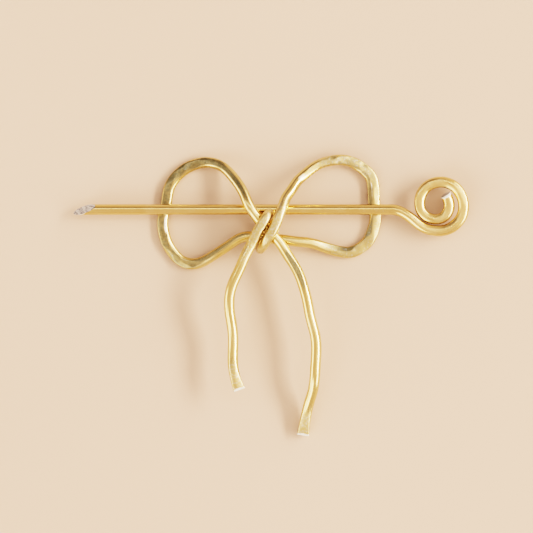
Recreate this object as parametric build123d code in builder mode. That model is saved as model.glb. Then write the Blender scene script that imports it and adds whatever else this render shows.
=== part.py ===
from build123d import *
from collections import namedtuple
from math import ceil, cos, radians, sin, sqrt, tan
import os

# A shawl pin in two pieces of bent wire, lying on its back: a bow tied from one length of wire, and a stick
# with a coiled head that passes through the bow's loops.
# +X runs along the stick towards its coil, +Y runs up the bow from its tails to its loops, and +Z stands on
# the surface that the pin lies on.

# Driving sizes in millimetres
wire = 2.9  # diameter of the bare wire
layer_gap = 0.15  # air between two strands that cross in the knot
stick_gap = 0.15  # air between the stick and the strands that it rests on

left_loop_reach = 28.5  # from the knot's centre to the left loop's outermost point, on the wire's centreline
left_loop_rise = 19.0
left_loop_drop = 8.9
right_loop_reach = 30.0
right_loop_rise = 19.7
right_loop_drop = 5.7

left_tail_reach = 10.2
left_tail_drop = 43.5
right_tail_reach = 13.75
right_tail_drop = 56.0

shaft_left = 53.1  # from the knot's centre to the sharp end of the tip
shaft_right = 33.55  # from the knot's centre to the start of the neck
coil_eye = 2.26  # radius of the coil's innermost bend, on the wire's centreline
coil_reach = 14.4  # from the end of the shaft to the coil's centre, along the shaft
coil_rise = 0.75  # from the shaft's line to the coil's centre, across the shaft

# Angles in degrees
tip_bevel = 25.5  # between the tip's cut face and the shaft
tip_roll = 45.0  # how far the tip's cut face is turned about the shaft, from facing upwards
end_bevel = 76.0  # between the cut at the coil's inner end and the wire

# Shares of the wire's diameter
arc_thick = 0.75  # the loops' outer arcs, hammered on their faces
fan_thick = 0.50  # the tails' hammered ends

# Limits on the spacing and the turning of the sections
largest_turn = 15.0  # degrees
largest_bulge = 0.05  # how far the curve may stand off the straight line between sections, in millimetres
least_level = 0.3  # a section is levelled unless less than this share of the wire's direction is level

# Every row is one section of the wire. Its place is across and up from the knot's centre, as shares of the
# sizes that the table follows. The lift is the height of the wire's underside in layers of the knot, where
# a layer is one wire and one gap. Wide and thick are shares of the wire's diameter.
Row = namedtuple("Row", "across up lift wide thick")

left_tail_rows = [
    Row(0.73, -1.000, 2.40, 1.14, fan_thick),
    Row(0.79, -0.960, 2.33, 1.06, 0.65),
    Row(0.85, -0.910, 2.20, 1.00, 0.86),
    Row(0.90, -0.840, 2.05, 1.00, 1.00),
    Row(0.90, -0.740, 1.95, 1.00, 1.00),
    Row(0.91, -0.630, 2.10, 1.00, 1.00),
    Row(0.98, -0.520, 2.40, 1.00, 1.00),
    Row(1.00, -0.440, 2.60, 1.00, 1.00),
    Row(0.96, -0.370, 2.72, 1.00, 1.00),
    Row(0.85, -0.300, 2.80, 1.00, 1.00),
    Row(0.70, -0.225, 2.85, 1.00, 1.00),
    Row(0.56, -0.150, 2.88, 1.00, 1.00),
]

# The strand that goes over the front of the knot, down behind it and round to the front again
wrap_rows = [
    Row(-1.50, -1.35, 2.86, 1.00, 1.00),
    Row(-0.91, -0.08, 3.00, 1.00, 1.00),
    Row(-0.44, 0.66, 3.00, 1.00, 1.00),
    Row(-0.08, 1.25, 2.95, 1.00, 1.00),
    Row(0.15, 1.54, 2.65, 1.00, 1.00),
    Row(0.28, 1.62, 2.20, 1.00, 1.00),
    Row(0.31, 1.48, 1.75, 1.00, 1.00),
    Row(0.29, 1.20, 1.31, 1.00, 1.00),
    Row(0.19, 0.92, 0.90, 1.00, 1.00),
    Row(0.06, 0.61, 0.50, 1.00, 1.00),
    Row(-0.08, 0.25, 0.19, 1.00, 1.00),
    Row(-0.25, -0.19, 0.04, 1.00, 1.00),
    Row(-0.38, -0.66, 0.00, 1.00, 1.00),
    Row(-0.49, -1.16, 0.11, 1.00, 1.00),
    Row(-0.56, -1.51, 0.48, 1.00, 1.00),
    Row(-0.58, -1.63, 1.00, 1.00, 1.00),
    Row(-0.51, -1.59, 1.55, 1.00, 1.00),
    Row(-0.37, -1.42, 2.10, 1.00, 1.00),
    Row(-0.17, -1.13, 2.52, 1.00, 1.00),
    Row(0.11, -0.65, 2.86, 1.00, 1.00),
    Row(0.42, -0.17, 3.00, 1.00, 1.00),
    Row(0.75, 0.39, 3.00, 1.00, 1.00),
    Row(1.17, 1.38, 2.95, 1.00, 1.00),
    Row(1.51, 2.26, 2.65, 1.00, 1.00),
]

right_loop_rows = [
    Row(0.18, 0.47, 2.14, 1.00, 1.00),
    Row(0.23, 0.58, 1.76, 1.00, 1.00),
    Row(0.29, 0.71, 1.29, 1.00, 1.00),
    Row(0.37, 0.82, 0.95, 1.00, 1.00),
    Row(0.46, 0.92, 0.73, 0.98, 0.95),
    Row(0.57, 0.98, 0.57, 0.98, 0.90),
    Row(0.68, 1.00, 0.36, 1.02, 0.85),
    Row(0.78, 0.97, 0.19, 1.06, 0.80),
    Row(0.875, 0.89, 0.07, 1.12, arc_thick),
    Row(0.95, 0.78, 0.00, 1.15, arc_thick),
    Row(0.98, 0.63, 0.00, 1.17, arc_thick),
    Row(0.985, 0.48, 0.00, 1.17, arc_thick),
    Row(0.995, 0.31, 0.00, 1.12, arc_thick),
    Row(1.00, 0.19, 0.00, 1.12, arc_thick),
    Row(0.98, 0.035, 0.00, 1.15, arc_thick),
    Row(0.94, -0.39, 0.00, 1.15, arc_thick),
    Row(0.865, -0.78, 0.00, 1.12, arc_thick),
    Row(0.765, -1.00, 0.00, 1.10, 0.80),
    Row(0.66, -0.95, 0.05, 1.07, 0.85),
    Row(0.55, -0.79, 0.20, 1.05, 0.92),
    Row(0.44, -0.60, 0.48, 1.00, 1.00),
    Row(0.34, -0.51, 0.76, 1.00, 1.00),
    Row(0.25, -0.47, 0.95, 1.00, 1.00),
]

# The strand that runs straight through the knot from one loop to the other
bar_rows = [
    Row(1.85, -0.81, 1.00, 1.00, 1.00),
    Row(0.95, -0.72, 1.00, 1.00, 1.00),
    Row(-0.14, -0.59, 1.00, 1.00, 1.00),
    Row(-1.14, -0.47, 1.00, 1.00, 1.00),
]

left_loop_rows = [
    Row(0.24, -0.19, 0.95, 1.00, 1.00),
    Row(0.36, -0.42, 0.67, 1.00, 1.00),
    Row(0.51, -0.73, 0.29, 1.00, 0.98),
    Row(0.61, -0.92, 0.08, 1.03, 0.88),
    Row(0.71, -1.00, 0.00, 1.08, 0.80),
    Row(0.82, -0.91, 0.00, 1.08, arc_thick),
    Row(0.90, -0.67, 0.00, 1.08, arc_thick),
    Row(0.96, -0.35, 0.00, 1.08, arc_thick),
    Row(0.995, 0.01, 0.00, 1.08, arc_thick),
    Row(1.00, 0.17, 0.00, 1.08, arc_thick),
    Row(0.98, 0.32, 0.00, 1.06, arc_thick),
    Row(0.96, 0.48, 0.00, 1.06, arc_thick),
    Row(0.94, 0.63, 0.00, 1.08, arc_thick),
    Row(0.88, 0.78, 0.00, 1.10, arc_thick),
    Row(0.78, 0.91, 0.04, 1.10, arc_thick),
    Row(0.66, 0.985, 0.10, 1.06, 0.80),
    Row(0.53, 0.995, 0.19, 1.02, 0.90),
    Row(0.42, 0.93, 0.43, 1.00, 1.00),
    Row(0.33, 0.80, 0.86, 1.00, 1.00),
    Row(0.26, 0.66, 1.29, 1.00, 1.00),
    Row(0.21, 0.52, 1.67, 1.00, 1.00),
]

# The strand that crosses the knot under the wrap, from the left loop to the right tail
diagonal_rows = [
    Row(-1.56, 2.28, 2.00, 1.00, 1.00),
    Row(-1.02, 1.47, 2.00, 1.00, 1.00),
    Row(-0.42, 0.75, 2.00, 1.00, 1.00),
    Row(0.42, -0.15, 2.00, 1.00, 1.00),
    Row(1.27, -1.12, 1.97, 1.00, 1.00),
]

right_tail_rows = [
    Row(0.42, -0.115, 1.98, 1.00, 1.00),
    Row(0.55, -0.165, 1.99, 1.00, 1.00),
    Row(0.66, -0.216, 2.00, 1.00, 1.00),
    Row(0.745, -0.275, 2.02, 1.00, 1.00),
    Row(0.81, -0.335, 2.05, 1.00, 1.00),
    Row(0.86, -0.400, 2.08, 1.00, 1.00),
    Row(0.92, -0.460, 2.08, 1.00, 1.00),
    Row(0.975, -0.515, 2.07, 1.00, 1.00),
    Row(0.995, -0.570, 2.05, 1.00, 1.00),
    Row(0.98, -0.650, 1.98, 1.00, 1.00),
    Row(0.96, -0.725, 1.80, 1.00, 1.00),
    Row(0.92, -0.786, 1.35, 1.00, 1.00),
    Row(0.86, -0.835, 0.85, 1.00, 1.00),
    Row(0.81, -0.885, 0.55, 1.00, 0.95),
    Row(0.77, -0.934, 0.42, 1.04, 0.80),
    Row(0.745, -0.973, 0.36, 1.10, 0.62),
    Row(0.73, -1.000, 0.33, 1.15, fan_thick),
]

# The neck bends the wire off the shaft's line to the start of the coil. Its places are shares of the way
# from the end of the shaft to the coil's first section.
Neck = namedtuple("Neck", "along aside wide thick")

neck_rows = [
    Neck(0.00, 0.00, 1.00, 1.00),
    Neck(0.22, 0.02, 1.00, 1.00),
    Neck(0.44, 0.17, 1.00, 1.00),
    Neck(0.62, 0.38, 1.00, 1.00),
    Neck(0.81, 0.67, 1.00, 0.98),
]

# The coil turns anticlockwise about its centre, seen from above, and winds inwards to its eye. Each place is
# given by the turn in degrees and by how far it lies outside the eye, in wires.
Coil = namedtuple("Coil", "turn out wide thick")

coil_rows = [
    Coil(216, 1.94, 1.00, 0.96),
    Coil(234, 1.74, 1.00, 0.94),
    Coil(252, 1.57, 1.02, 0.92),
    Coil(270, 1.49, 1.03, 0.92),
    Coil(290, 1.44, 1.06, 0.92),
    Coil(315, 1.39, 1.06, 0.92),
    Coil(340, 1.39, 1.04, 0.92),
    Coil(365, 1.39, 1.03, 0.92),
    Coil(385, 1.42, 1.03, 0.92),
    Coil(402, 1.48, 1.04, 0.90),
    Coil(420, 1.54, 1.05, 0.90),
    Coil(448, 1.57, 1.06, 0.90),
    Coil(477, 1.55, 1.06, 0.90),
    Coil(500, 1.47, 1.06, 0.90),
    Coil(527, 1.28, 1.05, 0.90),
    Coil(549, 1.14, 1.02, 0.92),
    Coil(565, 0.98, 1.01, 0.94),
    Coil(586, 0.73, 1.00, 0.94),
    Coil(611, 0.46, 0.99, 0.92),
    Coil(641, 0.24, 1.03, 0.92),
    Coil(683, 0.02, 1.06, 0.94),
    Coil(725, 0.01, 1.06, 0.96),
    Coil(757, 0.13, 1.05, 0.98),
    Coil(789, 0.47, 1.03, 1.00),
]

# Sizes worked out from the driving sizes
layer = wire + layer_gap
stick_height = arc_thick * wire + stick_gap + wire / 2
coil_sides = []
for row in coil_rows:
    coil_sides.append((coil_eye + row.out * wire) * cos(radians(row.turn)) + row.wide * wire / 2)
coil_right = shaft_right + coil_reach + max(coil_sides)

# The knot's centre, placed so that the origin lies under the middle of the whole pin
knot_x = (shaft_left - coil_right) / 2
knot_y = (right_tail_drop - right_loop_rise - wire / 2) / 2


Section = namedtuple("Section", "place wide thick")


def bow_sections(rows, reach, rise, drop):
    """The sections of one table, placed from the knot's centre."""
    sections = []
    for row in rows:
        x = knot_x + row.across * reach
        y = knot_y + row.up * (rise if row.up > 0 else drop)
        z = row.lift * layer + row.thick * wire / 2
        sections.append(Section(Vector(x, y, z), row.wide * wire, row.thick * wire))
    return sections


def stick_row():
    """How far above the knot's centre the stick lies: close above the strand that turns down behind it."""
    clear = wire + stick_gap
    rows = []
    for row in wrap_rows:
        below = row.lift * layer + wire / 2 - stick_height
        if abs(below) < clear:
            rows.append(row.up * wire + sqrt(clear**2 - below**2))
    return max(rows)


def head_sections(shaft_end):
    """The sections of the stick's neck and coil, from the end of the shaft inwards."""
    centre = shaft_end + Vector(coil_reach, coil_rise, 0)
    coil = []
    for row in coil_rows:
        arm = Vector(cos(radians(row.turn)), sin(radians(row.turn)), 0)
        place = centre + arm * (coil_eye + row.out * wire)
        coil.append(Section(place, row.wide * wire, row.thick * wire))
    way = coil[0].place - shaft_end
    neck = []
    for row in neck_rows:
        place = shaft_end + Vector(row.along * way.X, row.aside * way.Y, 0)
        neck.append(Section(place, row.wide * wire, row.thick * wire))
    return neck + coil


def stations(sections, start=None):
    """Planes and section sizes along the smooth line through the sections, closer together at bends."""
    places = [section.place for section in sections]
    ends = None
    if start is not None:
        # At its other end the line goes on bending as it does over its last two steps
        last = (places[-1] - places[-2]).normalized()
        last_but_one = (places[-2] - places[-3]).normalized()
        ends = [start, (last * 3 - last_but_one).normalized()]
    with BuildLine(mode=Mode.PRIVATE) as path:
        Spline(*places, tangents=ends, tangent_scalars=(1, 1))
    line = path.edge()
    marks = [line.param_at_point(place) for place in places]
    found = []
    side = None
    for number, mark in enumerate(marks):
        here = sections[number]
        beyond = here
        following = mark
        steps = 1
        if number + 1 < len(marks):
            beyond = sections[number + 1]
            following = marks[number + 1]
            turn = (line % mark).get_angle(line % following)
            bulge = (beyond.place - here.place).length / 2 * tan(radians(turn / 4))
            steps = max(1, ceil(turn / largest_turn), ceil(sqrt(bulge / largest_bulge)))
        for step in range(steps):
            share = step / steps
            at = mark + share * (following - mark)
            tangent = line % at
            level = tangent.cross(Vector(0, 0, 1))
            if side is None:
                side = level
            elif level.length > least_level:
                side = level if level.dot(side) > 0 else -level
            side = (side - tangent * side.dot(tangent)).normalized()
            plane = Plane(origin=line @ at, x_dir=side, z_dir=tangent)
            wide = here.wide + share * (beyond.wide - here.wide)
            thick = here.thick + share * (beyond.thick - here.thick)
            found.append((plane, wide, thick))
    return found


def wire_section(plane, wide, thick):
    """A wire's section: round where it is as thick as wide, and flattened where it is hammered."""
    with BuildSketch(plane) as section:
        Ellipse(wide / 2, thick / 2)
    return section.sketch.face()


def cut_plane(place, direction, bevel, roll):
    """A slanted cut across a wire. The cut faces upwards, or is rolled from there about the wire."""
    up = Vector(0, 0, 1)
    side = up * cos(radians(roll)) + direction.cross(up) * sin(radians(roll))
    normal = direction * sin(radians(bevel)) + side * cos(radians(bevel))
    return Plane(origin=place, x_dir=direction.cross(side), z_dir=normal)


# The bow
bow_rows = bow_sections(left_tail_rows, -left_tail_reach, wire, left_tail_drop)
bow_rows += bow_sections(wrap_rows, wire, wire, wire)
bow_rows += bow_sections(right_loop_rows, right_loop_reach, right_loop_rise, right_loop_drop)
bow_rows += bow_sections(bar_rows, wire, wire, wire)
bow_rows += bow_sections(left_loop_rows, -left_loop_reach, left_loop_rise, left_loop_drop)
bow_rows += bow_sections(diagonal_rows, wire, wire, wire)
bow_rows += bow_sections(right_tail_rows, right_tail_reach, wire, right_tail_drop)

with BuildPart() as bow:
    loft([wire_section(*station) for station in stations(bow_rows)], ruled=True)

# The stick: a round shaft with a bevelled tip, then the neck and the coil
shaft_start = Vector(knot_x - shaft_left, knot_y + stick_row(), stick_height)
shaft_end = Vector(knot_x + shaft_right, knot_y + stick_row(), stick_height)
bevel_middle = shaft_start + Vector(wire / 2 / tan(radians(tip_bevel)), 0, 0)

head_stations = stations(head_sections(shaft_end), start=Vector(1, 0, 0))
end_plane, end_wide, end_thick = head_stations.pop()
end_cut = cut_plane(end_plane.origin, end_plane.z_dir, end_bevel, 0)
head_stations.append((end_cut, end_wide, end_thick / sin(radians(end_bevel))))

with BuildPart() as stick:
    with BuildSketch(Plane(origin=shaft_start, x_dir=(0, 1, 0), z_dir=(1, 0, 0))):
        Circle(wire / 2)
    extrude(amount=shaft_left + shaft_right)
    split(bisect_by=cut_plane(bevel_middle, Vector(-1, 0, 0), tip_bevel, tip_roll), keep=Keep.BOTTOM)
    loft([wire_section(*station) for station in head_stations], ruled=True)

os.makedirs("parts", exist_ok=True)
bow.part.label = "bow"
export_step(bow.part, "parts/bow.step")
stick.part.label = "stick"
export_step(stick.part, "parts/stick.step")
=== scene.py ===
from collections import namedtuple
from math import cos, pi, radians, sin, tan

import bpy
import numpy as np
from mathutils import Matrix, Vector, noise


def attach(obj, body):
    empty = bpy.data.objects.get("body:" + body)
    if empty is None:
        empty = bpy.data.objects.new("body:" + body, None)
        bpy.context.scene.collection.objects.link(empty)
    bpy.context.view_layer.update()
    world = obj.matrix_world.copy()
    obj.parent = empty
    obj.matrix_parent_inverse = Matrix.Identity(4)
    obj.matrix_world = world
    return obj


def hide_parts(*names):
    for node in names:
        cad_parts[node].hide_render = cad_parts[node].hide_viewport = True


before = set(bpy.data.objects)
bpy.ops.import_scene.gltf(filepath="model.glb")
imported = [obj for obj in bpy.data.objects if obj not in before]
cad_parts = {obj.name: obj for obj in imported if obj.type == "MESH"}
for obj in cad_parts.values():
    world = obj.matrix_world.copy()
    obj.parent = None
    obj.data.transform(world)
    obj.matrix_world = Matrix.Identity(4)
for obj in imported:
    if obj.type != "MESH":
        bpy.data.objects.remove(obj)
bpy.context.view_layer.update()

mm = 0.001

# Sizes in millimetres, as on the solids. A strand's size is its reach to the right of the knot's centre, and
# its rise above and drop below that centre.
wire = 2.9
layer = 3.05  # one wire and the air above it, where strands cross in the knot
knot_x = -1.3053
knot_y = 17.425
left_loop = (-28.5, 19.0, 8.9)
right_loop = (30.0, 19.7, 5.7)
left_tail = (-10.2, 1.0, 43.5)
right_tail = (13.75, 1.0, 56.0)
knot = (wire, wire, wire)

shaft_row = 23.457  # Y of the stick's shaft
shaft_height = 3.775  # Z of its centreline
shaft_start = -54.4053  # X of the tip's sharp end
shaft_end = 32.2447
shaft_join = 0.1  # least space between the shaft's last ring and the neck's first
tip_bevel = 25.5  # degrees between the tip's cut face and the shaft
tip_roll = 45.0  # degrees that the tip's cut face is turned about the shaft, from facing upwards
end_bevel = 76.0  # degrees between the cut at the coil's inner end and the wire
coil_eye = 2.26  # radius of the innermost turn
coil_reach = 14.4  # from the shaft's end to the coil's centre
coil_rise = 0.75  # from the shaft's row to the coil's centre

arc_thick = 0.75  # thickness of the loops' hammered arcs, as a share of the wire
fan_thick = 0.50  # thickness of the tails' hammered ends, as a share of the wire
fan_flat = 4.0  # length of the tails' ends that have flat faces
fan_fade = 8.0  # from the tails' ends to where the flat faces have turned into an oval

# The surface of the wires
spacing = 0.25  # between the rings of points along a wire
around_count = 64  # points in a ring
cap_rings = (0.8, 0.5, 0.2)  # sizes of the rings in a cut end, as shares of its rim
steep = 0.3  # a wire is steep where less than this share of its direction is level
sharp_angle = 40  # degrees between faces that meet in a crisp edge
flat_edge = 0.05  # how softly a flat face turns into the round side
mark_rim = 0.1  # greatest height above the wire at which a hammer's face still shapes it softly
pale_spot_edge = 0.5  # share of a pale spot's area that fades out
blow_depths = (0.3, 1)  # range of a small blow's depth, as shares of its run's depth
blow_lengths = (0.7, 1.4)  # range of its length, as shares of its run's mean length

# Slight thinning of a wire: its extent, its mean depth as a share of the wire, and its place in the noise
Lumps = namedtuple("Lumps", "size depth shift")

bow_lumps = Lumps(3.0, 0.012, (17.3, 5.1, 9.7))
stick_lumps = Lumps(3.5, 0.008, (34.6, 10.2, 19.4))

# Sections of the bow's wire: place as shares of the strand's reach, rise and drop, height of the underside
# in layers of the knot, width and thickness as shares of the wire.
Row = namedtuple("Row", "across up lift wide thick")

left_tail_rows = [
    Row(0.73, -1.000, 2.40, 1.14, fan_thick),
    Row(0.79, -0.960, 2.33, 1.06, 0.65),
    Row(0.85, -0.910, 2.20, 1.00, 0.86),
    Row(0.90, -0.840, 2.05, 1.00, 1.00),
    Row(0.90, -0.740, 1.95, 1.00, 1.00),
    Row(0.91, -0.630, 2.10, 1.00, 1.00),
    Row(0.98, -0.520, 2.40, 1.00, 1.00),
    Row(1.00, -0.440, 2.60, 1.00, 1.00),
    Row(0.96, -0.370, 2.72, 1.00, 1.00),
    Row(0.85, -0.300, 2.80, 1.00, 1.00),
    Row(0.70, -0.225, 2.85, 1.00, 1.00),
    Row(0.56, -0.150, 2.88, 1.00, 1.00),
]

wrap_rows = [
    Row(-1.50, -1.35, 2.86, 1.00, 1.00),
    Row(-0.91, -0.08, 3.00, 1.00, 1.00),
    Row(-0.44, 0.66, 3.00, 1.00, 1.00),
    Row(-0.08, 1.25, 2.95, 1.00, 1.00),
    Row(0.15, 1.54, 2.65, 1.00, 1.00),
    Row(0.28, 1.62, 2.20, 1.00, 1.00),
    Row(0.31, 1.48, 1.75, 1.00, 1.00),
    Row(0.29, 1.20, 1.31, 1.00, 1.00),
    Row(0.19, 0.92, 0.90, 1.00, 1.00),
    Row(0.06, 0.61, 0.50, 1.00, 1.00),
    Row(-0.08, 0.25, 0.19, 1.00, 1.00),
    Row(-0.25, -0.19, 0.04, 1.00, 1.00),
    Row(-0.38, -0.66, 0.00, 1.00, 1.00),
    Row(-0.49, -1.16, 0.11, 1.00, 1.00),
    Row(-0.56, -1.51, 0.48, 1.00, 1.00),
    Row(-0.58, -1.63, 1.00, 1.00, 1.00),
    Row(-0.51, -1.59, 1.55, 1.00, 1.00),
    Row(-0.37, -1.42, 2.10, 1.00, 1.00),
    Row(-0.17, -1.13, 2.52, 1.00, 1.00),
    Row(0.11, -0.65, 2.86, 1.00, 1.00),
    Row(0.42, -0.17, 3.00, 1.00, 1.00),
    Row(0.75, 0.39, 3.00, 1.00, 1.00),
    Row(1.17, 1.38, 2.95, 1.00, 1.00),
    Row(1.51, 2.26, 2.65, 1.00, 1.00),
]

right_loop_rows = [
    Row(0.18, 0.47, 2.14, 1.00, 1.00),
    Row(0.23, 0.58, 1.76, 1.00, 1.00),
    Row(0.29, 0.71, 1.29, 1.00, 1.00),
    Row(0.37, 0.82, 0.95, 1.00, 1.00),
    Row(0.46, 0.92, 0.73, 0.98, 0.95),
    Row(0.57, 0.98, 0.57, 0.98, 0.90),
    Row(0.68, 1.00, 0.36, 1.02, 0.85),
    Row(0.78, 0.97, 0.19, 1.06, 0.80),
    Row(0.875, 0.89, 0.07, 1.12, arc_thick),
    Row(0.95, 0.78, 0.00, 1.15, arc_thick),
    Row(0.98, 0.63, 0.00, 1.17, arc_thick),
    Row(0.985, 0.48, 0.00, 1.17, arc_thick),
    Row(0.995, 0.31, 0.00, 1.12, arc_thick),
    Row(1.00, 0.19, 0.00, 1.12, arc_thick),
    Row(0.98, 0.035, 0.00, 1.15, arc_thick),
    Row(0.94, -0.39, 0.00, 1.15, arc_thick),
    Row(0.865, -0.78, 0.00, 1.12, arc_thick),
    Row(0.765, -1.00, 0.00, 1.10, 0.80),
    Row(0.66, -0.95, 0.05, 1.07, 0.85),
    Row(0.55, -0.79, 0.20, 1.05, 0.92),
    Row(0.44, -0.60, 0.48, 1.00, 1.00),
    Row(0.34, -0.51, 0.76, 1.00, 1.00),
    Row(0.25, -0.47, 0.95, 1.00, 1.00),
]

bar_rows = [
    Row(1.85, -0.81, 1.00, 1.00, 1.00),
    Row(0.95, -0.72, 1.00, 1.00, 1.00),
    Row(-0.14, -0.59, 1.00, 1.00, 1.00),
    Row(-1.14, -0.47, 1.00, 1.00, 1.00),
]

left_loop_rows = [
    Row(0.24, -0.19, 0.95, 1.00, 1.00),
    Row(0.36, -0.42, 0.67, 1.00, 1.00),
    Row(0.51, -0.73, 0.29, 1.00, 0.98),
    Row(0.61, -0.92, 0.08, 1.03, 0.88),
    Row(0.71, -1.00, 0.00, 1.08, 0.80),
    Row(0.82, -0.91, 0.00, 1.08, arc_thick),
    Row(0.90, -0.67, 0.00, 1.08, arc_thick),
    Row(0.96, -0.35, 0.00, 1.08, arc_thick),
    Row(0.995, 0.01, 0.00, 1.08, arc_thick),
    Row(1.00, 0.17, 0.00, 1.08, arc_thick),
    Row(0.98, 0.32, 0.00, 1.06, arc_thick),
    Row(0.96, 0.48, 0.00, 1.06, arc_thick),
    Row(0.94, 0.63, 0.00, 1.08, arc_thick),
    Row(0.88, 0.78, 0.00, 1.10, arc_thick),
    Row(0.78, 0.91, 0.04, 1.10, arc_thick),
    Row(0.66, 0.985, 0.10, 1.06, 0.80),
    Row(0.53, 0.995, 0.19, 1.02, 0.90),
    Row(0.42, 0.93, 0.43, 1.00, 1.00),
    Row(0.33, 0.80, 0.86, 1.00, 1.00),
    Row(0.26, 0.66, 1.29, 1.00, 1.00),
    Row(0.21, 0.52, 1.67, 1.00, 1.00),
]

diagonal_rows = [
    Row(-1.56, 2.28, 2.00, 1.00, 1.00),
    Row(-1.02, 1.47, 2.00, 1.00, 1.00),
    Row(-0.42, 0.75, 2.00, 1.00, 1.00),
    Row(0.42, -0.15, 2.00, 1.00, 1.00),
    Row(1.27, -1.12, 1.97, 1.00, 1.00),
]

right_tail_rows = [
    Row(0.42, -0.115, 1.98, 1.00, 1.00),
    Row(0.55, -0.165, 1.99, 1.00, 1.00),
    Row(0.66, -0.216, 2.00, 1.00, 1.00),
    Row(0.745, -0.275, 2.02, 1.00, 1.00),
    Row(0.81, -0.335, 2.05, 1.00, 1.00),
    Row(0.86, -0.400, 2.08, 1.00, 1.00),
    Row(0.92, -0.460, 2.08, 1.00, 1.00),
    Row(0.975, -0.515, 2.07, 1.00, 1.00),
    Row(0.995, -0.570, 2.05, 1.00, 1.00),
    Row(0.98, -0.650, 1.98, 1.00, 1.00),
    Row(0.96, -0.725, 1.80, 1.00, 1.00),
    Row(0.92, -0.786, 1.35, 1.00, 1.00),
    Row(0.86, -0.835, 0.85, 1.00, 1.00),
    Row(0.81, -0.885, 0.55, 1.00, 0.95),
    Row(0.77, -0.934, 0.42, 1.04, 0.80),
    Row(0.745, -0.973, 0.36, 1.10, 0.62),
    Row(0.73, -1.000, 0.33, 1.15, fan_thick),
]

# Sections of the stick's neck: place as shares of the way from the shaft's end to the coil's first section,
# width and thickness as shares of the wire.
Neck = namedtuple("Neck", "along aside wide thick")

neck_rows = [
    Neck(0.00, 0.00, 1.00, 1.00),
    Neck(0.22, 0.02, 1.00, 1.00),
    Neck(0.44, 0.17, 1.00, 1.00),
    Neck(0.62, 0.38, 1.00, 1.00),
    Neck(0.81, 0.67, 1.00, 0.98),
]

# Sections of the coil: turn about its centre in degrees, place out from the innermost turn, width and
# thickness, all three as shares of the wire.
Coil = namedtuple("Coil", "turn out wide thick")

coil_rows = [
    Coil(216, 1.94, 1.00, 0.96),
    Coil(234, 1.74, 1.00, 0.94),
    Coil(252, 1.57, 1.02, 0.92),
    Coil(270, 1.49, 1.03, 0.92),
    Coil(290, 1.44, 1.06, 0.92),
    Coil(315, 1.39, 1.06, 0.92),
    Coil(340, 1.39, 1.04, 0.92),
    Coil(365, 1.39, 1.03, 0.92),
    Coil(385, 1.42, 1.03, 0.92),
    Coil(402, 1.48, 1.04, 0.90),
    Coil(420, 1.54, 1.05, 0.90),
    Coil(448, 1.57, 1.06, 0.90),
    Coil(477, 1.55, 1.06, 0.90),
    Coil(500, 1.47, 1.06, 0.90),
    Coil(527, 1.28, 1.05, 0.90),
    Coil(549, 1.14, 1.02, 0.92),
    Coil(565, 0.98, 1.01, 0.94),
    Coil(586, 0.73, 1.00, 0.94),
    Coil(611, 0.46, 0.99, 0.92),
    Coil(641, 0.24, 1.03, 0.92),
    Coil(683, 0.02, 1.06, 0.94),
    Coil(725, 0.01, 1.06, 0.96),
    Coil(757, 0.13, 1.05, 0.98),
    Coil(789, 0.47, 1.03, 1.00),
]

# Hammer marks. A mark lies on the named strand at a share of that strand's length. Around is the side that
# it faces in degrees: 0 the inside of a loop, 90 the top and 180 the outside. Deep is a share of the wire's
# diameter, long is the mark's length in millimetres, and the last column is how dark the struck face is
# painted: painted shade standing in for the dark reflections on hammered faces.
Mark = namedtuple("Mark", "strand along around deep long dull")

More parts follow.
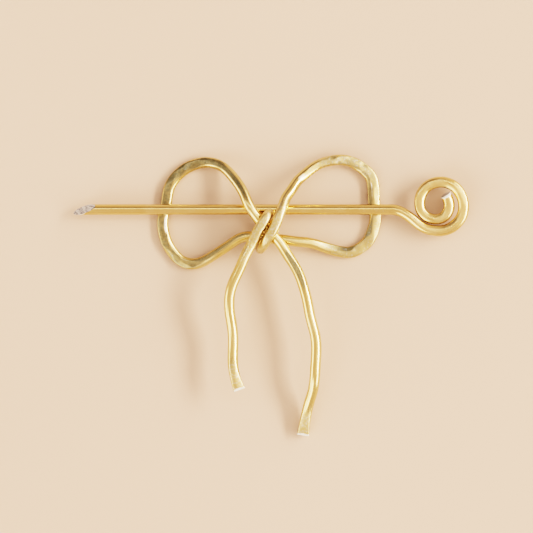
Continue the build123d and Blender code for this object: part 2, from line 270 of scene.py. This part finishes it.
marks = [
    Mark("left tail", 0.16, 104, 0.05, 5.0, 0.8),
    Mark("left tail", 0.05, 84, 0.04, 7.0, 0.2),
    Mark("wrap", 0.12, 80, 0.04, 10.0, 0.4),
    Mark("wrap", 0.85, 92, 0.045, 9.0, 0.4),
    Mark("right loop", 0.17, 88, 0.04, 9.0, 0.17),
    Mark("right loop", 0.25, 88, 0.05, 7.0, 0.8),
    Mark("right loop", 0.32, 92, 0.06, 7.0, 0.8),
    Mark("right loop", 0.385, 98, 0.07, 6.5, 0.39),
    Mark("right loop", 0.445, 100, 0.08, 5.5, 0.5),
    Mark("right loop", 0.50, 108, 0.07, 5.0, 0.33),
    Mark("right loop", 0.56, 90, 0.06, 5.0, 0.22),
    Mark("right loop", 0.625, 98, 0.08, 6.0, 0.5),
    Mark("right loop", 0.685, 96, 0.08, 5.5, 0.44),
    Mark("right loop", 0.74, 94, 0.09, 6.0, 0.28),
    Mark("right loop", 0.80, 98, 0.06, 6.0, 0.44),
    Mark("right loop", 0.87, 90, 0.03, 7.0, 0.22),
    Mark("right loop", 0.945, 86, 0.02, 8.0, 0.39),
    Mark("left loop", 0.08, 68, 0.02, 12.0, 0.8),
    Mark("left loop", 0.165, 70, 0.025, 11.0, 0.9),
    Mark("left loop", 0.235, 86, 0.05, 7.0, 0.7),
    Mark("left loop", 0.29, 104, 0.07, 6.0, 0.4),
    Mark("left loop", 0.325, 142, 0.08, 5.0, 0.0),
    Mark("left loop", 0.39, 104, 0.05, 8.0, 1.0),
    Mark("left loop", 0.455, 98, 0.04, 4.0, 0.7),
    Mark("left loop", 0.54, 110, 0.045, 8.0, 1.0),
    Mark("left loop", 0.62, 108, 0.045, 6.5, 0.9),
    Mark("left loop", 0.69, 102, 0.045, 7.0, 1.0),
    Mark("left loop", 0.79, 96, 0.03, 10.0, 1.0),
    Mark("left loop", 0.885, 91, 0.03, 11.0, 1.0),
    Mark("left loop", 0.965, 91, 0.025, 9.0, 1.0),
    Mark("right tail", 0.045, 96, 0.045, 8.0, 1.0),
    Mark("right tail", 0.12, 96, 0.045, 9.0, 1.0),
    Mark("right tail", 0.92, 96, 0.03, 7.0, 0.4),
    Mark("coil", 0.09, 96, 0.03, 9.0, 0.0),
    Mark("coil", 0.30, 97, 0.03, 8.5, 0.1),
    Mark("coil", 0.38, 80, 0.05, 6.5, 0.0),
    Mark("coil", 0.55, 98, 0.03, 8.0, 0.1),
    Mark("coil", 0.72, 84, 0.03, 8.0, 0.0),
    Mark("coil", 0.88, 90, 0.04, 7.5, 0.1),
]

# Runs of small blows between the marks. Around and spread are in degrees, long is the blows' mean length in
# millimetres, and the last column is the painted shade of the struck faces, as in the marks.
Blows = namedtuple("Blows", "strand first last count around spread deep long dull")

blow_runs = [
    Blows("right loop", 0.22, 0.44, 17, 94, 22, 0.045, 2.6, 0.8),
    Blows("right loop", 0.44, 0.84, 29, 94, 22, 0.045, 2.6, 0.3),
    Blows("left loop", 0.22, 0.84, 42, 106, 20, 0.035, 2.6, 0.95),
    Blows("wrap", 0.02, 0.20, 12, 86, 20, 0.03, 1.8, 0.4),
    Blows("wrap", 0.80, 0.98, 12, 92, 20, 0.03, 1.8, 0.4),
    Blows("coil", 0.02, 0.98, 40, 92, 34, 0.012, 4.0, 0.0),
    Blows("left tail", 0.01, 0.20, 8, 92, 30, 0.015, 4.0, 0.3),
    Blows("right tail", 0.86, 0.99, 7, 92, 30, 0.015, 4.0, 0.3),
    Blows("right loop", 0.45, 0.54, 4, 70, 3, 0.025, 4.0, 0.9),
    Blows("right loop", 0.60, 0.67, 3, 70, 3, 0.025, 4.5, 1.0),
    Blows("right loop", 0.75, 0.88, 6, 68, 3, 0.03, 4.5, 1.0),
]

# Pale spots, placed as the hammer marks are: mostly where the gold colour has worn off to bare metal. The
# spot on the shaft beside the tip is also a painted highlight, and the broad faint stretches on the tails,
# the knot and the right loop's top are partly wear and partly their painted pale sheen. Broad is in degrees
# around the wire, and strength is how much of the pale bare-metal colour is painted.
PaleSpot = namedtuple("PaleSpot", "strand along around broad long strength")

pale_spots = [
    PaleSpot("left loop", 0.44, 58, 26, 5.5, 0.9),
    PaleSpot("right loop", 0.105, 96, 40, 3.2, 0.4),
    PaleSpot("right loop", 0.475, 62, 18, 5.5, 0.45),
    PaleSpot("left tail", 0.0, 90, 300, 1.2, 0.9),
    PaleSpot("left tail", 0.07, 90, 180, 12.0, 0.14),
    PaleSpot("right tail", 1.0, 90, 300, 1.2, 0.9),
    PaleSpot("right tail", 0.95, 90, 180, 10.0, 0.14),
    PaleSpot("wrap", 0.08, 90, 200, 22.0, 0.12),
    PaleSpot("wrap", 0.86, 90, 200, 22.0, 0.12),
    PaleSpot("right loop", 0.28, 90, 200, 26.0, 0.09),
    PaleSpot("right loop", 0.72, 90, 200, 30.0, 0.09),
    # Beside the tip's cut: bare metal, and also a painted highlight.
    PaleSpot("shaft", 0.0, 0, 100, 1.6, 1.0),
    PaleSpot("coil", 1.0, 90, 200, 1.6, 1.0),
]


def bow_places(rows, size):
    """One table's sections as x, y, z, width and thickness in millimetres."""
    reach, rise, drop = size
    places = []
    for row in rows:
        x = knot_x + row.across * reach
        y = knot_y + row.up * (rise if row.up > 0 else drop)
        z = row.lift * layer + row.thick * wire / 2
        places.append((x, y, z, row.wide * wire, row.thick * wire))
    return places


def stick_places():
    """The sections of the stick's neck and coil, from the end of the shaft inwards."""
    coil = []
    for row in coil_rows:
        reach = coil_eye + row.out * wire
        x = shaft_end + coil_reach + reach * cos(radians(row.turn))
        y = shaft_row + coil_rise + reach * sin(radians(row.turn))
        coil.append((x, y, shaft_height, row.wide * wire, row.thick * wire))
    way_x = coil[0][0] - shaft_end
    way_y = coil[0][1] - shaft_row
    neck = []
    for row in neck_rows:
        x = shaft_end + row.along * way_x
        y = shaft_row + row.aside * way_y
        neck.append((x, y, shaft_height, row.wide * wire, row.thick * wire))
    return neck + coil


def line_slopes(points, steps, start, end):
    """The slope at each point of the smoothest line through the points. An end without a given slope runs
    out straight."""
    count = len(points)
    matrix = np.zeros((count, count))
    right = np.zeros_like(points)
    for i in range(1, count - 1):
        before = steps[i - 1]
        after = steps[i]
        matrix[i, i - 1:i + 2] = 1 / before, 2 / before + 2 / after, 1 / after
        right[i] = 3 * ((points[i] - points[i - 1]) / before**2 + (points[i + 1] - points[i]) / after**2)
    matrix[0, :2] = 2, 1
    right[0] = 3 * (points[1] - points[0]) / steps[0]
    matrix[-1, -2:] = 1, 2
    right[-1] = 3 * (points[-1] - points[-2]) / steps[-1]
    if start is not None:
        matrix[0, :2] = 1, 0
        right[0] = start
    if end is not None:
        matrix[-1, -2:] = 0, 1
        right[-1] = end
    return np.linalg.solve(matrix, right)


def smooth_line(places, start=None, end=None):
    """Samples the smooth line through the places. Returns the samples, their directions, how far along the
    line each sample lies, and how far along each place lies."""
    points = np.array(places, float)
    steps = np.linalg.norm(np.diff(points[:, :3], axis=0), axis=1)
    lengths = np.concatenate([[0], np.cumsum(steps)])
    slopes = line_slopes(points, steps, start, end)
    at = np.linspace(0, lengths[-1], int(round(lengths[-1] / spacing)) + 1)
    i = np.clip(np.searchsorted(lengths, at, side="right") - 1, 0, len(points) - 2)
    step = steps[i][:, None]
    u = ((at - lengths[i]) / steps[i])[:, None]
    samples = (2 * u**3 - 3 * u**2 + 1) * points[i] + (u**3 - 2 * u**2 + u) * step * slopes[i]
    samples += (3 * u**2 - 2 * u**3) * points[i + 1] + (u**3 - u**2) * step * slopes[i + 1]
    ways = (6 * u**2 - 6 * u) / step * points[i] + (3 * u**2 - 4 * u + 1) * slopes[i]
    ways += (6 * u - 6 * u**2) / step * points[i + 1] + (3 * u**2 - 2 * u) * slopes[i + 1]
    ways = ways[:, :3] / np.linalg.norm(ways[:, :3], axis=1)[:, None]
    return samples, ways, at, lengths


def side_ways(ways):
    """A sideways direction at each sample, level wherever the wire isn't steep, and turning smoothly."""
    sides = np.zeros_like(ways)
    side = None
    for i, way in enumerate(ways):
        level = np.array([way[1], -way[0], 0.0])
        if side is None:
            side = level
        elif np.linalg.norm(level) > steep:
            side = level if level @ side > 0 else -level
        side = side - way * (way @ side)
        side = side / np.linalg.norm(side)
        sides[i] = side
    return sides


# A wire's samples, the directions along, sideways and upwards at each, and how far along each lies
Line = namedtuple("Line", "samples ways sides rises at")


def framed(samples, ways, at):
    """The line with its sideways and upward directions."""
    sides = side_ways(ways)
    return Line(samples, ways, sides, np.cross(sides, ways), at)


def wire_rings(samples, flat):
    """The wire's surface before any marks, as a ring of points for each sample: an oval, or a round with
    flat faces where flat is one. A point is its offset from the centreline, sideways and upwards."""
    angles = np.linspace(-pi / 2, 3 * pi / 2, around_count, endpoint=False)
    wide = samples[:, 3:4] / 2
    thick = samples[:, 4:5] / 2
    across = wide * np.cos(angles)
    upward = wide * np.sin(angles)
    over = np.abs(upward) - thick
    faced = upward - np.sign(upward) * (over + np.sqrt(over**2 + flat_edge**2)) / 2
    upward = flat[:, None] * faced + (1 - flat[:, None]) * thick * np.sin(angles)
    return np.stack([across, upward], axis=2)


def thin_out(samples, rings, lump):
    """Thins the rings slightly here and there, as in a wire that was bent by hand."""
    shift = Vector(lump.shift)
    for i, ring in enumerate(rings):
        middle = Vector(samples[i, :3])
        for k in range(around_count):
            spot = middle + Vector((ring[k, 0], ring[k, 1], 0))
            ring[k] *= 1 + lump.depth * (noise.noise(spot / lump.size + shift) - 1)


def place_on(spans, spot):
    """How far along the wire a mark or a pale spot lies. Spans holds each strand's two ends."""
    start, end = spans[spot.strand]
    return start + spot.along * (end - start)


def strike(rings, states, at, place, mark):
    """Flattens the rings near a place on the wire, as a hammer's slightly domed face does, and notes how
    dark the struck face is painted (painted shade).
    """
    struck = states["struck"]
    dull = states["dull"]
    facing = np.array([cos(radians(mark.around)), sin(radians(mark.around))])
    reach = rings @ facing
    depth = mark.deep * wire * (1 - ((at - place) / (mark.long / 2)) ** 2)
    near = depth > -mark_rim
    level = reach[near].max(axis=1) - depth[near]
    over = reach[near] - level[:, None]
    push = (over + np.sqrt(over**2 + flat_edge**2)) / 2
    rings[near] -= push[:, :, None] * facing
    amount = np.clip(push / flat_edge, 0, 1)
    struck[near] = np.maximum(struck[near], amount)
    dull[near] = dull[near] * (1 - amount) + mark.dull * amount


def paint_pale_spot(rings, states, at, place, pale_spot):
    """Notes how pale a spot paints the wire around a place: worn-off colour, and in some spots a painted
    highlight.
    """
    angle = np.degrees(np.arctan2(rings[:, :, 1], rings[:, :, 0]))
    off = (angle - pale_spot.around + 180) % 360 - 180
    share = 1 - (off / (pale_spot.broad / 2)) ** 2 - ((at - place) / (pale_spot.long / 2))[:, None] ** 2
    np.maximum(states["worn_and_sheen"], pale_spot.strength * np.clip(share / pale_spot_edge, 0, 1), out=states["worn_and_sheen"])


def small_blows():
    """The runs of small blows as single marks, scattered with each run's own seed."""
    blows = []
    for seed, run in enumerate(blow_runs):
        chance = np.random.default_rng(seed)
        for i in range(run.count):
            along = run.first + (run.last - run.first) * (i + chance.random()) / run.count
            around = run.around + run.spread * chance.uniform(-1, 1)
            deep = run.deep * chance.uniform(*blow_depths)
            long = run.long * chance.uniform(*blow_lengths)
            blows.append(Mark(run.strand, along, around, deep, long, run.dull))
    return blows


def work_wire(rings, at, spans):
    """Hammers one wire and paints its pale spots. Returns how far each point was struck, how dark it is
    painted (painted shade on struck faces) and how pale it is painted (wear, with a painted highlight in
    some spots).
    """
    states = {state: np.zeros(rings.shape[:2]) for state in ("struck", "dull", "worn_and_sheen")}
    for mark in marks + small_blows():
        if mark.strand in spans:
            strike(rings, states, at, place_on(spans, mark), mark)
    for pale_spot in pale_spots:
        if pale_spot.strand in spans:
            paint_pale_spot(rings, states, at, place_on(spans, pale_spot), pale_spot)
    return states


def end_shift(rings, line, end, facing, long):
    """How far along the wire each point moves, so that the wire's first or last ring becomes a slanted cut
    that faces the given way. The shift fades out over the given length."""
    slope = np.array([facing @ line.sides[end], facing @ line.rises[end]]) / (facing @ line.ways[end])
    fade = np.clip(1 - np.abs(line.at - line.at[end]) / long, 0, 1)
    return -(rings @ slope) * fade[:, None]


def tube(points):
    """Vertices and faces of a closed tube through rings of points, the wall first and then both caps."""
    count = len(points)
    vertices = [points.reshape(-1, 3)]
    faces = []
    for i in range(count - 1):
        for k in range(around_count):
            j = (k + 1) % around_count
            a = i * around_count
            b = a + around_count
            faces.append((a + k, b + k, b + j, a + j))
    total = count * around_count
    for ring, sense in ((0, 1), (count - 1, -1)):
        rim = points[ring]
        middle = rim.mean(axis=0)
        last = ring * around_count
        for share in cap_rings:
            vertices.append(middle + (rim - middle) * share)
            for k in range(around_count):
                j = (k + 1) % around_count
                faces.append((last + k, last + j, total + j, total + k)[::sense])
            last = total
            total += around_count
        vertices.append(middle[None])
        for k in range(around_count):
            j = (k + 1) % around_count
            faces.append((last + k, last + j, total)[::sense])
        total += 1
    return np.concatenate(vertices), faces


def unwrap(mesh, vertices, at):
    """Lays the wall out in millimetres, around the wire by along it, and the caps as seen from above."""
    around = np.arange(around_count) / around_count * pi * wire
    wall = len(at) * around_count
    places = np.array(vertices[:, :2])
    places[:wall, 0] = np.tile(around, len(at))
    places[:wall, 1] = np.repeat(at, around_count)
    corners = np.zeros(len(mesh.loops), int)
    mesh.loops.foreach_get("vertex_index", corners)
    uv = places[corners]
    wall_corners = np.arange((len(at) - 1) * around_count * 4).reshape(-1, 4)
    seam = wall_corners[around_count - 1::around_count, 2:]
    uv[seam, 0] += pi * wire
    mesh.uv_layers.new(name="wire").data.foreach_set("uv", uv.reshape(-1))


def wire_piece(name, line, rings, shifts, states, gold):
    """One wire as a closed mesh, with gold on its wall and bare metal on its cut ends."""
    points = line.samples[:, None, :3] + rings[:, :, :1] * line.sides[:, None]
    points += rings[:, :, 1:] * line.rises[:, None]
    points += shifts[:, :, None] * line.ways[:, None]
    vertices, faces = tube(points)
    mesh = bpy.data.meshes.new(name)
    mesh.from_pydata((vertices * mm).tolist(), [], faces)
    for state, amount in states.items():
        values = np.zeros(len(vertices))
        values[:amount.size] = amount.reshape(-1)
        mesh.attributes.new(state, "FLOAT", "POINT").data.foreach_set("value", values)
    unwrap(mesh, vertices, line.at)
    mesh.materials.append(gold)
    mesh.materials.append(bare_wire)
    kinds = np.ones(len(faces), int)
    kinds[:(len(points) - 1) * around_count] = 0
    mesh.polygons.foreach_set("material_index", kinds)
    mesh.polygons.foreach_set("use_smooth", np.ones(len(faces), bool))
    mesh.set_sharp_from_angle(angle=radians(sharp_angle))
    mesh.update()
    piece = bpy.data.objects.new(name, mesh)
    bpy.context.scene.collection.objects.link(piece)
    return piece


# Shader nodes
def fill(tree, socket, value):
    """Gives a socket a constant, or links another node's output to it."""
    if isinstance(value, bpy.types.NodeSocket):
        tree.links.new(value, socket)
    else:
        socket.default_value = value


def add(tree, kind, **settings):
    """A new node. Each setting goes to the socket of that name, with _ for a space, or else to the node."""
    node = tree.nodes.new(kind)
    for key, value in settings.items():
        socket = key.replace("_", " ")
        if socket in node.inputs:
            fill(tree, node.inputs[socket], value)
        else:
            setattr(node, key, value)
    return node


def speckles(tree, place, scale, detail, roughness=0.5):
    """Procedural noise from 0 to 1 at a place."""
    node = add(tree, "ShaderNodeTexNoise", Vector=place, Scale=scale, Detail=detail, Roughness=roughness)
    return node.outputs["Fac"]


def scaled(tree, value, factor, base=0.0):
    """A value times a factor, plus a base."""
    node = add(tree, "ShaderNodeMath", operation="MULTIPLY_ADD")
    for socket, source in zip(node.inputs, (value, factor, base)):
        fill(tree, socket, source)
    return node.outputs["Value"]


def ramp(tree, source, stops):
    """A colour for each value of the source, between stops of place and colour."""
    node = add(tree, "ShaderNodeValToRGB", Fac=source)
    while len(node.color_ramp.elements) < len(stops):
        node.color_ramp.elements.new(0.5)
    for element, (place, colour) in zip(node.color_ramp.elements, stops):
        element.position = place
        element.color = (*colour, 1)
    return node.outputs["Color"]


def grey(value):
    """A grey of the given brightness."""
    return (value, value, value)


def mix(tree, share, first, second):
    """The first colour where the share is 0 and the second where it is 1."""
    node = add(tree, "ShaderNodeMix", data_type="RGBA")
    for name, value in (("Factor", share), ("A", first), ("B", second)):
        fill(tree, node.inputs[name], value)
    return node.outputs["Result"]


def new_material(name):
    """A material with an empty node tree."""
    material = bpy.data.materials.new(name)
    material.use_nodes = True
    material.node_tree.nodes.clear()
    return material, material.node_tree


def finish_material(tree, shader):
    """Makes the shader the material's surface."""
    add(tree, "ShaderNodeOutputMaterial", Surface=shader.outputs["BSDF"])


# Gold colours of the wire
gold_red = 0.73
drawn_gold = (0.64, 0.50, 0.21, 1)  # in the drawn lines
facet_shade_gold = (0.16, 0.17, 0.10, 1)  # painted shade: the dark reflections on hammered faces
gap_shade_gold = (0.36, 0.24, 0.05, 1)  # painted shade in the narrow gaps between strands
bare_and_sheen_gold = (0.76, 0.83, 0.80, 1)  # bare metal where the colour is rubbed off, also painted as a highlight in some spots


def wire_metal(name, green, blue):
    """Gold-coloured aluminium: drawn lines along the wire, fine scratches, satin hammer marks with painted
    shade on their faces, painted shade in narrow gaps, and worn spots, some of them also a painted
    highlight. Green and blue are the gold's share of those colours."""
    material, tree = new_material(name)
    place = add(tree, "ShaderNodeTexCoord").outputs["Object"]
    uv = add(tree, "ShaderNodeUVMap", uv_map="wire").outputs["UV"]
    along = add(tree, "ShaderNodeMapping", Vector=uv, Scale=(3.2, 0.12, 1)).outputs["Vector"]
    drawn = speckles(tree, along, scale=2.0, detail=4.0, roughness=0.6)
    grain = speckles(tree, place, scale=1800.0, detail=3.0, roughness=0.6)
    patches = speckles(tree, place, scale=160.0, detail=3.0, roughness=0.55)
    worn_and_sheen = add(tree, "ShaderNodeAttribute", attribute_name="worn_and_sheen").outputs["Fac"]
    struck = add(tree, "ShaderNodeAttribute", attribute_name="struck").outputs["Fac"]
    dull = add(tree, "ShaderNodeAttribute", attribute_name="dull").outputs["Fac"]
    # How closely nearby wire closes in, which drives the painted shade in the gaps.
    gap_occlusion = add(tree, "ShaderNodeAmbientOcclusion", samples=8, only_local=True, Distance=2.5 * mm)

    colour = ramp(tree, patches, [
        (0.3, (gold_red - 0.01, green - 0.02, blue - 0.03)),
        (0.55, (gold_red, green, blue)),
        (0.75, (gold_red + 0.01, green + 0.03, blue + 0.05)),
    ])
    colour = mix(tree, ramp(tree, drawn, [(0.35, grey(0.0)), (0.7, grey(0.3))]), colour, drawn_gold)
    speckle = ramp(tree, grain, [(0.4, grey(0.75)), (0.6, grey(1.0))])
    # Painted shade: struck faces darkened towards a dark olive gold, broken up by the grain.
    colour = mix(tree, scaled(tree, dull, speckle), colour, facet_shade_gold)
    # Painted shade: darker gold where nearby wire closes in, in the narrow gaps between strands.
    gap_shade = ramp(tree, gap_occlusion.outputs["AO"], [(0.25, grey(1.0)), (0.7, grey(0.0))])
    colour = mix(tree, gap_shade, colour, gap_shade_gold)
    # Bare metal where the colour is worn off, which in some spots is also a painted highlight, broken up by
    # the grain.
    bare_and_sheen = ramp(tree, scaled(tree, grain, 0.9, worn_and_sheen), [(0.55, grey(0.0)), (1.0, grey(1.0))])
    colour = mix(tree, bare_and_sheen, colour, bare_and_sheen_gold)

    smooth = add(tree, "ShaderNodeMapRange", Value=patches, From_Min=0.35, From_Max=0.65,
                 To_Min=0.13, To_Max=0.24)
    satin = scaled(tree, struck, 0.17, smooth.outputs["Result"])
    roughness = scaled(tree, worn_and_sheen, 0.7, satin)

    lines = add(tree, "ShaderNodeBump", Strength=0.25, Distance=0.02 * mm, Height=drawn)
    scratches = add(tree, "ShaderNodeBump", Strength=scaled(tree, struck, 0.5, 0.3), Distance=0.02 * mm,
                    Height=grain, Normal=lines.outputs["Normal"])

    tangent = add(tree, "ShaderNodeTangent", direction_type="UV_MAP", uv_map="wire")
    shader = add(tree, "ShaderNodeBsdfPrincipled", Base_Color=colour, Metallic=1.0, Roughness=roughness,
                 Anisotropic=0.3, Coat_Weight=0.5, Coat_Roughness=0.2, Tangent=tangent.outputs["Tangent"],
                 Normal=scratches.outputs["Normal"])
    finish_material(tree, shader)
    return material


def cut_metal():
    """Bare aluminium at the cut ends, with the cutter's fine lines."""
    material, tree = new_material("bare wire")
    place = add(tree, "ShaderNodeTexCoord").outputs["Object"]
    along = add(tree, "ShaderNodeMapping", Vector=place, Scale=(400, 2600, 2600)).outputs["Vector"]
    lines = speckles(tree, along, scale=1.0, detail=3.0, roughness=0.6)
    colour = ramp(tree, lines, [(0.40, (0.15, 0.19, 0.28)), (0.54, (0.68, 0.86, 1.0))])
    bump = add(tree, "ShaderNodeBump", Strength=0.5, Distance=0.03 * mm, Height=lines)
    shader = add(tree, "ShaderNodeBsdfPrincipled", Base_Color=colour, Metallic=1.0, Roughness=0.24,
                 Normal=bump.outputs["Normal"])
    finish_material(tree, shader)
    return material


def floor_paper():
    """The pale warm surface under the pin."""
    material, tree = new_material("pale floor")
    place = add(tree, "ShaderNodeTexCoord").outputs["Object"]
    clouds = speckles(tree, place, scale=9.0, detail=2.0)
    grain = speckles(tree, place, scale=900.0, detail=3.0)
    colour = ramp(tree, clouds, [(0.3, (0.541, 0.443, 0.356)), (0.7, (0.556, 0.455, 0.366))])
    bump = add(tree, "ShaderNodeBump", Strength=0.08, Distance=0.1 * mm, Height=grain)
    shader = add(tree, "ShaderNodeBsdfPrincipled", Base_Color=colour, Roughness=0.75,
                 Normal=bump.outputs["Normal"])
    finish_material(tree, shader)
    return material


bow_gold = wire_metal("gold wire of the bow", green=0.595, blue=0.30)
stick_gold = wire_metal("gold wire of the stick", green=0.555, blue=0.275)
bare_wire = cut_metal()

# The bow's wire, strand by strand
strands = [
    ("left tail", left_tail_rows, left_tail),
    ("wrap", wrap_rows, knot),
    ("right loop", right_loop_rows, right_loop),
    ("bar", bar_rows, knot),
    ("left loop", left_loop_rows, left_loop),
    ("diagonal", diagonal_rows, knot),
    ("right tail", right_tail_rows, right_tail),
]
bow_line = []
strand_rows = {}
for strand, rows, size in strands:
    strand_rows[strand] = (len(bow_line), len(bow_line) + len(rows) - 1)
    bow_line += bow_places(rows, size)
samples, ways, at, lengths = smooth_line(bow_line)
line = framed(samples, ways, at)
fan_ends = [fan_flat, fan_fade, at[-1] - fan_fade, at[-1] - fan_flat]
rings = wire_rings(samples, np.interp(at, fan_ends, [1, 0, 0, 1]))
thin_out(samples, rings, bow_lumps)
spans = {strand: (lengths[first], lengths[last]) for strand, (first, last) in strand_rows.items()}
states = work_wire(rings, at, spans)
bow = wire_piece("bow_wire", line, rings, np.zeros(rings.shape[:2]), states, bow_gold)
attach(bow, "bow")
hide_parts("bow")

# The stick's wire: the straight shaft from the middle of the tip's bevel, then the neck and the coil. The
# coil's last direction is that of its last step, turned on by half of its last bend.
neck_line = stick_places()
last_steps = np.diff(np.array(neck_line)[-3:, :3], axis=0)
before, last = last_steps / np.linalg.norm(last_steps, axis=1)[:, None]
coil_end = (3 * last - before) / np.linalg.norm(3 * last - before)
head, head_ways, head_at, lengths = smooth_line(neck_line, start=(1, 0, 0, 0, 0), end=(*coil_end, 0, 0))
bevel_long = wire / tan(radians(tip_bevel))
shaft_x = np.arange(shaft_start + bevel_long / 2, shaft_end - shaft_join, spacing)
shaft = np.array([(x, shaft_row, shaft_height, wire, wire) for x in shaft_x])
samples = np.concatenate([shaft, head])
ways = np.concatenate([np.tile([1.0, 0.0, 0.0], (len(shaft), 1)), head_ways])
at = np.concatenate([shaft_x - shaft_end, head_at])
line = framed(samples, ways, at)
rings = wire_rings(samples, np.zeros(len(samples)))
thin_out(samples, rings, stick_lumps)
states = work_wire(rings, at, {"shaft": (at[0], 0), "coil": (lengths[len(neck_rows)], lengths[-1])})
tip_side = np.array([0, sin(radians(tip_roll)), cos(radians(tip_roll))])
tip_face = np.array([-1, 0, 0]) * sin(radians(tip_bevel)) + tip_side * cos(radians(tip_bevel))
end_face = ways[-1] * sin(radians(end_bevel)) + np.array([0, 0, 1]) * cos(radians(end_bevel))
shifts = end_shift(rings, line, 0, tip_face, bevel_long) + end_shift(rings, line, -1, end_face, wire)
stick = wire_piece("stick_wire", line, rings, shifts, states, stick_gold)
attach(stick, "stick")
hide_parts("stick")

# Floor
floor_size = 12.0  # metres
floor_gap = 0.05 * mm  # between the floor and the height on which the pin lies
bpy.ops.mesh.primitive_plane_add(size=floor_size, location=(0, 0, -floor_gap))
floor = bpy.context.object
floor.name = "floor"
floor.data.materials.append(floor_paper())

# Light: a soft window on the right and a weak thin strip high above
scene = bpy.context.scene
lamp_distance = 3.0  # metres


def towards(azimuth, elevation):
    """The direction at an azimuth and at a height above the horizon, both in degrees."""
    flat = cos(radians(elevation))
    return (flat * cos(radians(azimuth)), flat * sin(radians(azimuth)), sin(radians(elevation)))


def lamp(name, shape, azimuth, elevation, spread, tall, glow, colour=(1, 1, 1)):
    """A far soft box, with its angular width and height in degrees and its brightness."""
    data = bpy.data.lights.new(name, "AREA")
    data.shape = shape
    data.size = 2 * lamp_distance * tan(radians(spread / 2))
    data.size_y = 2 * lamp_distance * tan(radians(tall / 2))
    data.energy = glow * pi * data.size * data.size_y * (pi / 4 if shape == "ELLIPSE" else 1)
    data.color = colour
    box = bpy.data.objects.new(name, data)
    box.location = [lamp_distance * step for step in towards(azimuth, elevation)]
    box.rotation_euler = box.location.to_track_quat("Z", "Y").to_euler()
    box.visible_camera = False
    scene.collection.objects.link(box)


lamp("window", "ELLIPSE", azimuth=8, elevation=34, spread=42, tall=13, glow=32.0, colour=(1.0, 0.68, 0.54))
lamp("strip", "RECTANGLE", azimuth=90, elevation=70, spread=90, tall=5, glow=2.6)

# The room's own light: a warm half-tone with round parts that are brighter or darker. Azimuth and elevation
# are those of a part's middle, in degrees. A part has its full colour out to the core and none past the
# edge, both in degrees from its middle.
room_light = (0.92, 0.61, 0.455, 1)
Part = namedtuple("Part", "azimuth elevation core edge colour")

room_parts = [
    Part(4, 62, 9, 27, (1.7, 1.20, 0.95)),
    Part(230, 34, 12, 24, (4.4, 3.3, 2.7)),
    Part(190, 12, 10, 24, (4.0, 3.0, 2.5)),
    Part(-24, 22, 6, 18, (7.5, 5.6, 4.7)),
    Part(40, 20, 6, 18, (6.5, 4.8, 4.0)),
    Part(90, 44, 5, 14, (0.26, 0.23, 0.16)),
    Part(124, 22, 14, 36, (0.27, 0.22, 0.21)),
]

world = bpy.data.worlds.new("room")
world.use_nodes = True
tree = world.node_tree
place = add(tree, "ShaderNodeTexCoord").outputs["Generated"]
light = room_light
for part in room_parts:
    near = add(tree, "ShaderNodeVectorMath", operation="DOT_PRODUCT")
    fill(tree, near.inputs[0], place)
    fill(tree, near.inputs[1], towards(part.azimuth, part.elevation))
    share = add(tree, "ShaderNodeMapRange", interpolation_type="SMOOTHSTEP", Value=near.outputs["Value"],
                From_Min=cos(radians(part.edge)), From_Max=cos(radians(part.core)))
    light = mix(tree, share.outputs["Result"], light, (*part.colour, 1))
fill(tree, tree.nodes["Background"].inputs["Color"], light)
scene.world = world
scene.view_settings.view_transform = "Filmic"
scene.view_settings.look = "Very High Contrast"

# Camera straight above. The frame's width is taken at the pin's middle height.
frame_wide = 146.6 * mm
frame_middle = (-1.295 * mm, 7.80 * mm)
pin_middle = 3 * mm
camera_height = 2.0  # metres
sensor_wide = 36
data = bpy.data.cameras.new("camera")
data.sensor_width = sensor_wide
data.lens = sensor_wide * (camera_height - pin_middle) / frame_wide
camera = bpy.data.objects.new("camera", data)
camera.location = (*frame_middle, camera_height)
scene.collection.objects.link(camera)
scene.camera = camera
